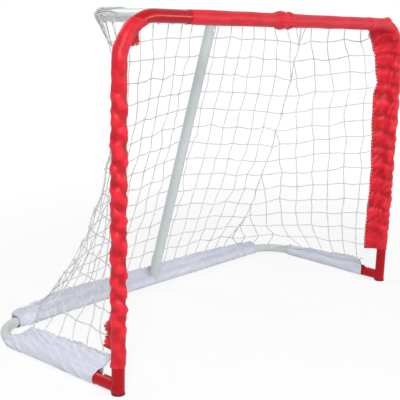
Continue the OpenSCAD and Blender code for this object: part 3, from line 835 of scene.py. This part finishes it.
def skirt_hem(s, side):
    centre, out, up = base_route(s, side)
    return ringed(centre, (read_off(SIDE_HEM[side], s) - 1 * MM)[..., None], SKIRT_TURN, out, up)


def back_hem(x):
    centre, back, up = back_route(x)
    return centre + back * 15.2 * MM + up * (read_off(BACK_HEM, x) - 2 * MM)[..., None]


def fold_line(side):
    """Evenly spaced points up the fold, let down a little towards its top."""
    line = spline(np.array(FOLD_LINE) * MM, 8) * (side, 1, 1)
    up = np.linspace(0, 1, FINE_ROWS + 1)
    slip = FOLD_DROP * up * smooth_step(1 - up, 0, 1 / ROWS)
    return points_at(line, up * lengths_along(line)[-1] - slip)


def stretched(first, last, bottom, top):
    """The slack-free surface that a net takes between its four laced edges."""
    v = np.linspace(0, 1, FINE_ROWS + 1)[:, None, None]
    u = np.linspace(0, 1, FINE_COLS + 1)[None, :, None]
    places = first[:, None] * (1 - u) + last[:, None] * u
    low = bottom - (first[0] * (1 - u[0]) + last[0] * u[0])
    high = top - (first[-1] * (1 - u[0]) + last[-1] * u[0])
    places = places + low[None] * (1 - v) ** 2 + high[None] * v ** 2
    for _ in range(RELAX_PASSES):
        near = places[:-2, 1:-1] + places[2:, 1:-1] + places[1:-1, :-2] + places[1:-1, 2:]
        places[1:-1, 1:-1] = near / 4
    return places


def side_surface(side):
    """From the lacing on the post's flap back to the fold."""
    at = np.interp(np.linspace(0, ROWS, FINE_ROWS + 1), *zip(*EDGE_ROWS[side]))
    first = flap_edge(at, side, 1 * MM)
    last = fold_line(side)
    front, back = SKIRT_ENDS[side][0] * MM, SKIRT_ENDS[side][2] * MM
    hem = skirt_hem(np.linspace(front + 3 * MM, back - 3 * MM, 30), side)
    sag = (hem[-1:] + last[:1]) / 2 - [[0, 0, 3 * MM]]
    bottom = spaced(np.concatenate([first[:1], hem, sag, last[:1]]), FINE_COLS)
    centre, out, _ = top_route(np.linspace(16 * MM, TOP_FOLD, 40), side)
    top = spaced(np.concatenate([first[-1:], (centre + out * NET_CLEAR)[2:], last[-1:]]), FINE_COLS)
    return stretched(first, last, bottom, top)


def back_surface(side):
    """From the centre bar sideways to the fold."""
    low, high = back_hem(0.0), np.array([0, FRONT_Y + TOP_DEPTH, BAR_Z])
    slope = np.array([0, math.cos(TILT), math.sin(TILT)])
    first = spaced([low, high + slope * NET_CLEAR], FINE_ROWS)
    last = fold_line(side)
    bottom = spaced(np.concatenate([back_hem(np.linspace(0, side * 350 * MM, 20)), last[:1]]), FINE_COLS)
    centre, out, _ = top_route(np.linspace(TOP_BEND_END + TOP_BACK_HALF, TOP_FOLD, 60), side)
    edge = centre + out * NET_CLEAR
    edge[0] = first[-1]
    top = spaced(np.concatenate([edge[:-1], last[-1:]]), FINE_COLS)
    return stretched(first, last, bottom, top)


def net_knots(surface, fold, rng, first_gap):
    """The knots of a square net laid on a surface, row by row from its first edge up to the fold."""
    rows = []
    for j, row in enumerate(surface[::FINE]):
        across = np.arange(first_gap, lengths_along(row)[-1] - 0.3 * MESH, MESH)
        knots = points_at(row, np.concatenate([[0], across]))
        if 0 < j < ROWS:
            knots[1:] += rng.normal(0, 2.2 * MM, knots[1:].shape)
            knots[1::2, 2] -= DROOP
            knots[2::2, 2] += DROOP
        rows.append(np.concatenate([knots, fold[j:j + 1]]))
    for edge, beside in ((0, 1), (ROWS, ROWS - 1)):
        path = spaced(surface[-1 if edge else 0], 300)
        away = np.linalg.norm(path[None] - rows[beside][:-1, None], axis=-1)
        rows[edge] = np.concatenate([path[away.argmin(axis=1)], fold[edge:edge + 1]])
    return rows


def fold_knots(side, rng):
    """Where the rows meet on the fold, pulled a little to and fro by its lacing."""
    fold = fold_line(side)[::FINE].copy()
    sway = np.where(np.arange(ROWS + 1) % 2 == 0, 1, -1) * 2.0 * MM
    fold[1:-1, 0] += (side * sway + rng.normal(0, 1.6 * MM, ROWS + 1))[1:-1]
    fold[1:-1, 2] += rng.normal(0, 3 * MM, ROWS - 1)
    return fold


def loose(rng, nodes, droop):
    """Adds a slack point halfway along each span of a strand."""
    nodes = np.asarray(nodes)
    middle = (nodes[:-1] + nodes[1:]) / 2
    shift = rng.normal(0, droop, middle.shape)
    shift[:, 2] -= droop * 0.8
    whole = np.zeros((2 * len(nodes) - 1, 3))
    whole[::2], whole[1::2] = nodes, middle + shift
    return whole


def lace(start_path, turns, radius):
    """A helix of cord whipped round an edge."""
    path = spaced(start_path, turns * 8)
    step = unit(np.gradient(path, axis=0))
    side = unit(np.cross(step, (0, 1, 0.001)))
    count = np.arange(len(path))
    angle = count * 2 * math.pi / 8 + 0.5 * np.sin(count / 21.0)
    size = radius * (1 + 0.15 * np.sin(count / 13.0))
    return ringed(path, size[:, None], angle[:, None], side, np.cross(step, side))


def knot_net(bm, rows, fold, rng, first_column):
    """Strands through the knots: every row, and every column until it runs out into the fold."""
    for j in range(1, ROWS):
        lay_cord(bm, spline(loose(rng, rows[j], SLACK), 3))
        for place in rows[j][1:-1]:
            tie_knot(bm, rng, place)
    for c in range(first_column, max(len(row) for row in rows) - 1):
        strands = [[]]
        for j, row in enumerate(rows):
            if c < len(row) - 1:
                strands[-1] = (strands[-1] or list(fold[max(j - 1, 0):j])) + [row[c]]
            elif strands[-1]:
                strands[-1].append(fold[j])
                strands.append([])
        for strand in filter(None, strands):
            lay_cord(bm, spline(loose(rng, strand, SLACK), 3))


def whip_edge(bm, path, pitch, radius):
    turns = max(4, int(lengths_along(path)[-1] / pitch))
    lay_cord(bm, lace(path, turns, radius), LACE_R, 5)


def bend_bundle(bm, side, fold, rng, strands):
    """The spare net at the top frame's bend: strands that fan out round the tube or run along it."""
    for k in range(strands):
        s = TOP_FOLD + (k - (strands - 1) / 2) * 13 * MM
        centre, out, up = top_route(np.full(5, s) + np.linspace(0, 6 * MM, 5), side)
        hook = ringed(centre, NET_CLEAR, np.linspace(1.9, -0.45, 5)[:, None], out, up)
        end = fold[ROWS - 1] + rng.normal(0, 1.2 * MM, 3)
        lay_cord(bm, spline(np.concatenate([hook, [(hook[-1] * 2 + end) / 3 - [0, 0, 1 * MM], end]]), 3))
    for k in range(strands - 1):
        start = TOP_BEND - rng.uniform(0.02, 0.07)
        s = np.linspace(start, TOP_BEND_END + rng.uniform(0.0, 0.10), 14)
        centre, out, up = top_route(s, side)
        turn = (-0.2 + 0.55 * k + 0.25 * np.sin(s / 0.021 + k))[:, None]
        lay_cord(bm, spline(ringed(centre, TUBE_R + 1.6 * MM, turn, out, up), 2))


def hang_side_net(name, node, side, fold, seed):
    rng = np.random.default_rng(seed)
    surface = side_surface(side)
    bm = bmesh.new()
    knot_net(bm, net_knots(surface, fold, rng, 0.62 * MESH), fold, rng, 1)
    lay_cord(bm, spline(loose(rng, fold, 1.5 * MM), 4), 1.25 * TWINE_R)
    for place in fold[1:-1]:
        tie_knot(bm, rng, place, FOLD_KNOT_R)
    whip_edge(bm, surface[0], 15 * MM, 1.9 * MM)
    whip_edge(bm, surface[-1], 21 * MM, 2.4 * MM)
    bend_bundle(bm, side, fold, rng, 6 if side < 0 else 3)
    finish_twine(name, bm, node)


def hang_back_net(folds_by_side, seed):
    rng = np.random.default_rng(seed)
    bm = bmesh.new()
    for side in (-1, 1):
        surface = back_surface(side)
        fold = folds_by_side[side]
        rows = net_knots(surface, fold, rng, MESH)
        knot_net(bm, rows, fold, rng, 0 if side > 0 else 1)
        whip_edge(bm, surface[0], 15 * MM, 1.9 * MM)
    finish_twine("back_net_twine", bm, "back_net")


def hang_top_net(seed):
    """The level net between the crossbar and the back of the top frame."""
    rng = np.random.default_rng(seed)
    rows, cols = 4, 16
    x_front, x_back = (np.linspace(-half, half, cols + 1) for half in (400 * MM, 352 * MM))
    front = stack(x_front, FRONT_Y + 11.5 * MM, BAR_Z + 10 * MM)
    back_y = FRONT_Y + TOP_DEPTH - 0.6 * np.maximum(np.abs(x_back) - 310 * MM, 0)
    tube_top = TUBE_R + 1.4 * MM
    back = stack(x_back, back_y, BAR_Z + tube_top)
    v = np.linspace(0, 1, rows + 1)[:, None, None]
    grid = front * (1 - v) + back * v
    grid[1:-1] += rng.normal(0, 2.0 * MM, grid[1:-1].shape) * (1, 1, 0.5)
    grid[..., 2] -= 5 * MM * np.sin(math.pi * v[..., 0])
    wrap = np.linspace(0.2, 3.6, 7)
    hook = tube_top * stack(0, np.sin(wrap), np.cos(wrap) - 1)
    bm = bmesh.new()
    for i in range(cols + 1):
        strand = spline(loose(rng, grid[:, i], 0.8 * MM), 3)
        lay_cord(bm, np.concatenate([strand, grid[-1, i] + hook]))
    for j in range(1, rows + 1):
        lay_cord(bm, spline(loose(rng, grid[j], 0.8 * MM), 3))
        if j < rows:
            for place in grid[j]:
                tie_knot(bm, rng, place)
    finish_twine("top_net_twine", bm, "top_net")


def flap_lacing(name, node, side, low):
    """Cord whipped round the free edge of a post sleeve's flap, taking in the edge of the net."""
    bm = bmesh.new()
    edge = flap_edge(np.linspace(low, EDGE_ROWS[side][-1][1], 120), side, 1.2 * MM)
    whip_edge(bm, edge, 9 * MM, 2.0 * MM)
    finish_twine(name, bm, node)


# ---- welds -----------------------------------------------

def weld(name, centre, across, ahead, along, branch_r):
    """A painted bead where a branch tube, running ahead, meets the side of a main tube."""
    turns = np.linspace(0, 2 * math.pi, 65)[:-1]
    radial = ringed(0, branch_r, turns[:, None], across, along)
    reach = np.sqrt(TUBE_R ** 2 - (branch_r * np.cos(turns)) ** 2) + 0.4 * MM
    path = centre + radial + reach[:, None] * ahead
    step = unit(np.roll(path, -1, axis=0) - np.roll(path, 1, axis=0))
    radial = unit(radial)[:, None]
    ripple = 1.5 * MM * (1 + 0.12 * np.cos(turns * 20))
    loop = np.linspace(0, 2 * math.pi, 9)[:, None]
    places = ringed(path[:, None], ripple[:, None, None], loop, radial, np.cross(step[:, None], radial))
    places = np.concatenate([places, places[:1]])
    places[:, -1] = places[:, 0]
    bm = bmesh.new()
    lay_grid(bm, places, places[..., :2])
    close_up(bm)
    add_piece(name, bm, RED_PAINT, "red_paint")


def make_welds():
    for side, word in ((-1, "left"), (1, "right")):
        centre, out, up = base_route(0.0, side)
        ahead = np.array([side * math.sin(BASE_SPLAY), math.cos(BASE_SPLAY), 0])
        weld(word + "_stub_weld", centre, out, ahead, up, TUBE_R)
        centre, out, up = top_route(0.0, side)
        ahead = np.array([side * math.sin(TOP_SPLAY), math.cos(TOP_SPLAY), 0])
        weld(word + "_spigot_weld", centre, up, ahead, out, SLIM_R)


# ---- leaf springs ----------------------------------------

SNAP_BUTTONS = ["left_stub", "right_stub", "left_spigot", "right_spigot", "left_foot", "right_foot",
                "crossbar"]


def flex_springs():
    """Leaf springs copied from the part's springs, in spring steel and shaded flat."""
    for place in SNAP_BUTTONS:
        bm = bmesh.new()
        bm.from_mesh(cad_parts[place + "_spring"].data)
        bmesh.ops.remove_doubles(bm, verts=bm.verts, dist=1e-6)
        piece = add_piece(place + "_leaf", bm, SPRING, "spring_steel", place + "_spring")
        piece.data.shade_flat()
        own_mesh(piece)


# ---- camera, light and floor -----------------------------

CAMERA_PLACE = (-1.4021, -1.2155, 0.6851)
CAMERA_TURNS = (41.88, 12.67, 1.52)
CAMERA_LENS = 69.91
# Each lamp's name, place, the point it is aimed at, its size in metres and its power in watts.
LAMPS = [("key", (-2.3, -2.2, 2.1), (0, 0, 0.35), 1.3, 88),
         ("fill", (1.5, -2.6, 1.4), (0, 0, 0.3), 1.6, 12),
         ("window", (1.8, -2.3, 0.75), (-0.3, 0, 0.6), 0.50, 12),
         ("rim", (-0.5, 2.4, 2.4), (0, 0, 0.35), 1.6, 30)]


def place_camera():
    yaw, pitch, roll = (math.radians(a) for a in CAMERA_TURNS)
    ahead = Vector((math.cos(yaw) * math.cos(pitch), math.sin(yaw) * math.cos(pitch),
                    -math.sin(pitch)))
    right = ahead.cross(Vector((0, 0, 1))).normalized()
    up = right.cross(ahead)
    right, up = (right * math.cos(roll) + up * math.sin(roll),
                 up * math.cos(roll) - right * math.sin(roll))
    lens = bpy.data.cameras.new("view")
    lens.lens = CAMERA_LENS
    lens.sensor_width = 36
    lens.clip_end = 100
    camera = put_in_scene("view", lens)
    camera.matrix_world = (Matrix.Translation(CAMERA_PLACE)
                           @ Matrix((right, up, -ahead)).transposed().to_4x4())
    bpy.context.scene.camera = camera


def add_lamp(name, place, aim, size, power):
    lamp = bpy.data.lights.new(name, "AREA")
    lamp.shape = "DISK"
    lamp.size = size
    lamp.energy = power
    facing = (Vector(aim) - Vector(place)).to_track_quat("-Z", "Y").to_matrix().to_4x4()
    put_in_scene(name, lamp).matrix_world = Matrix.Translation(place) @ facing


def light_room():
    world = bpy.data.worlds.new("room")
    bpy.context.scene.world = world
    room = Wiring(world)
    soft = room.nodes["Background"]
    fill(soft, Color=(0.97, 0.98, 1.0, 1), Strength=0.30)
    white = room.node("Background", Color=(1, 1, 1, 1), Strength=1)
    room.mix(room.shown_directly(), soft, white, "World Output")
    for lamp in LAMPS:
        add_lamp(*lamp)


def lay_floor():
    """A matt white floor that fades into the plain white of the room."""
    bm = bmesh.new()
    bmesh.ops.create_grid(bm, x_segments=1, y_segments=1, size=30)
    mesh = bpy.data.meshes.new("floor")
    bm.to_mesh(mesh)
    bm.free()
    floor = put_in_scene("floor", mesh)
    material = bpy.data.materials.new("pale_floor")
    wiring = Wiring(material)
    wiring.nodes.remove(wiring.nodes["Principled BSDF"])
    matt = wiring.node("BsdfDiffuse", Color=(0.86, 0.86, 0.87, 1))
    glow = wiring.node("Emission", Color=(1, 1, 1, 1), Strength=1.05)
    place = wiring.node("TexCoord").outputs["Object"]
    away = wiring.node("VectorMath", place, {"operation": "LENGTH"})
    fade = wiring.node("MapRange", From_Min=0.7, From_Max=2.2, To_Min=0.74, To_Max=1.0)
    wiring.link(away.outputs["Value"], fade.inputs["Value"])
    share = wiring.math("MULTIPLY", wiring.shown_directly(), fade.outputs["Result"])
    wiring.mix(share, matt, glow, "Material Output")
    mesh.materials.append(material)


# ---- the whole goal --------------------------------------

place_camera()
light_room()
lay_floor()
finish_nodes()
left_post_sleeve()
right_post_sleeve()
bar_sleeve("left_crossbar_cloth", "left_crossbar_sleeve", -319 * MM, 10 * MM, 11, puffed, 0.8 * MM)
bar_sleeve("right_crossbar_cloth", "right_crossbar_sleeve", 10.5 * MM, 331 * MM, 12, plain, 0.9 * MM)
side_skirt("left_skirt_cloth", "left_skirt", -1, 31)
side_skirt("right_skirt_cloth", "right_skirt", 1, 32)
back_skirt()
fold_rng = np.random.default_rng(9)
folds_by_side = {side: fold_knots(side, fold_rng) for side in (-1, 1)}
hang_side_net("left_net_twine", "left_net", -1, folds_by_side[-1], 51)
hang_side_net("right_net_twine", "right_net", 1, folds_by_side[1], 52)
hang_back_net(folds_by_side, 53)
hang_top_net(54)
flap_lacing("left_flap_lacing", "left_edge_cord", -1, 0.088)
flap_lacing("right_flap_lacing", "right_edge_cord", 1, 0.100)
make_welds()
flex_springs()

bpy.context.scene.view_settings.view_transform = "Standard"
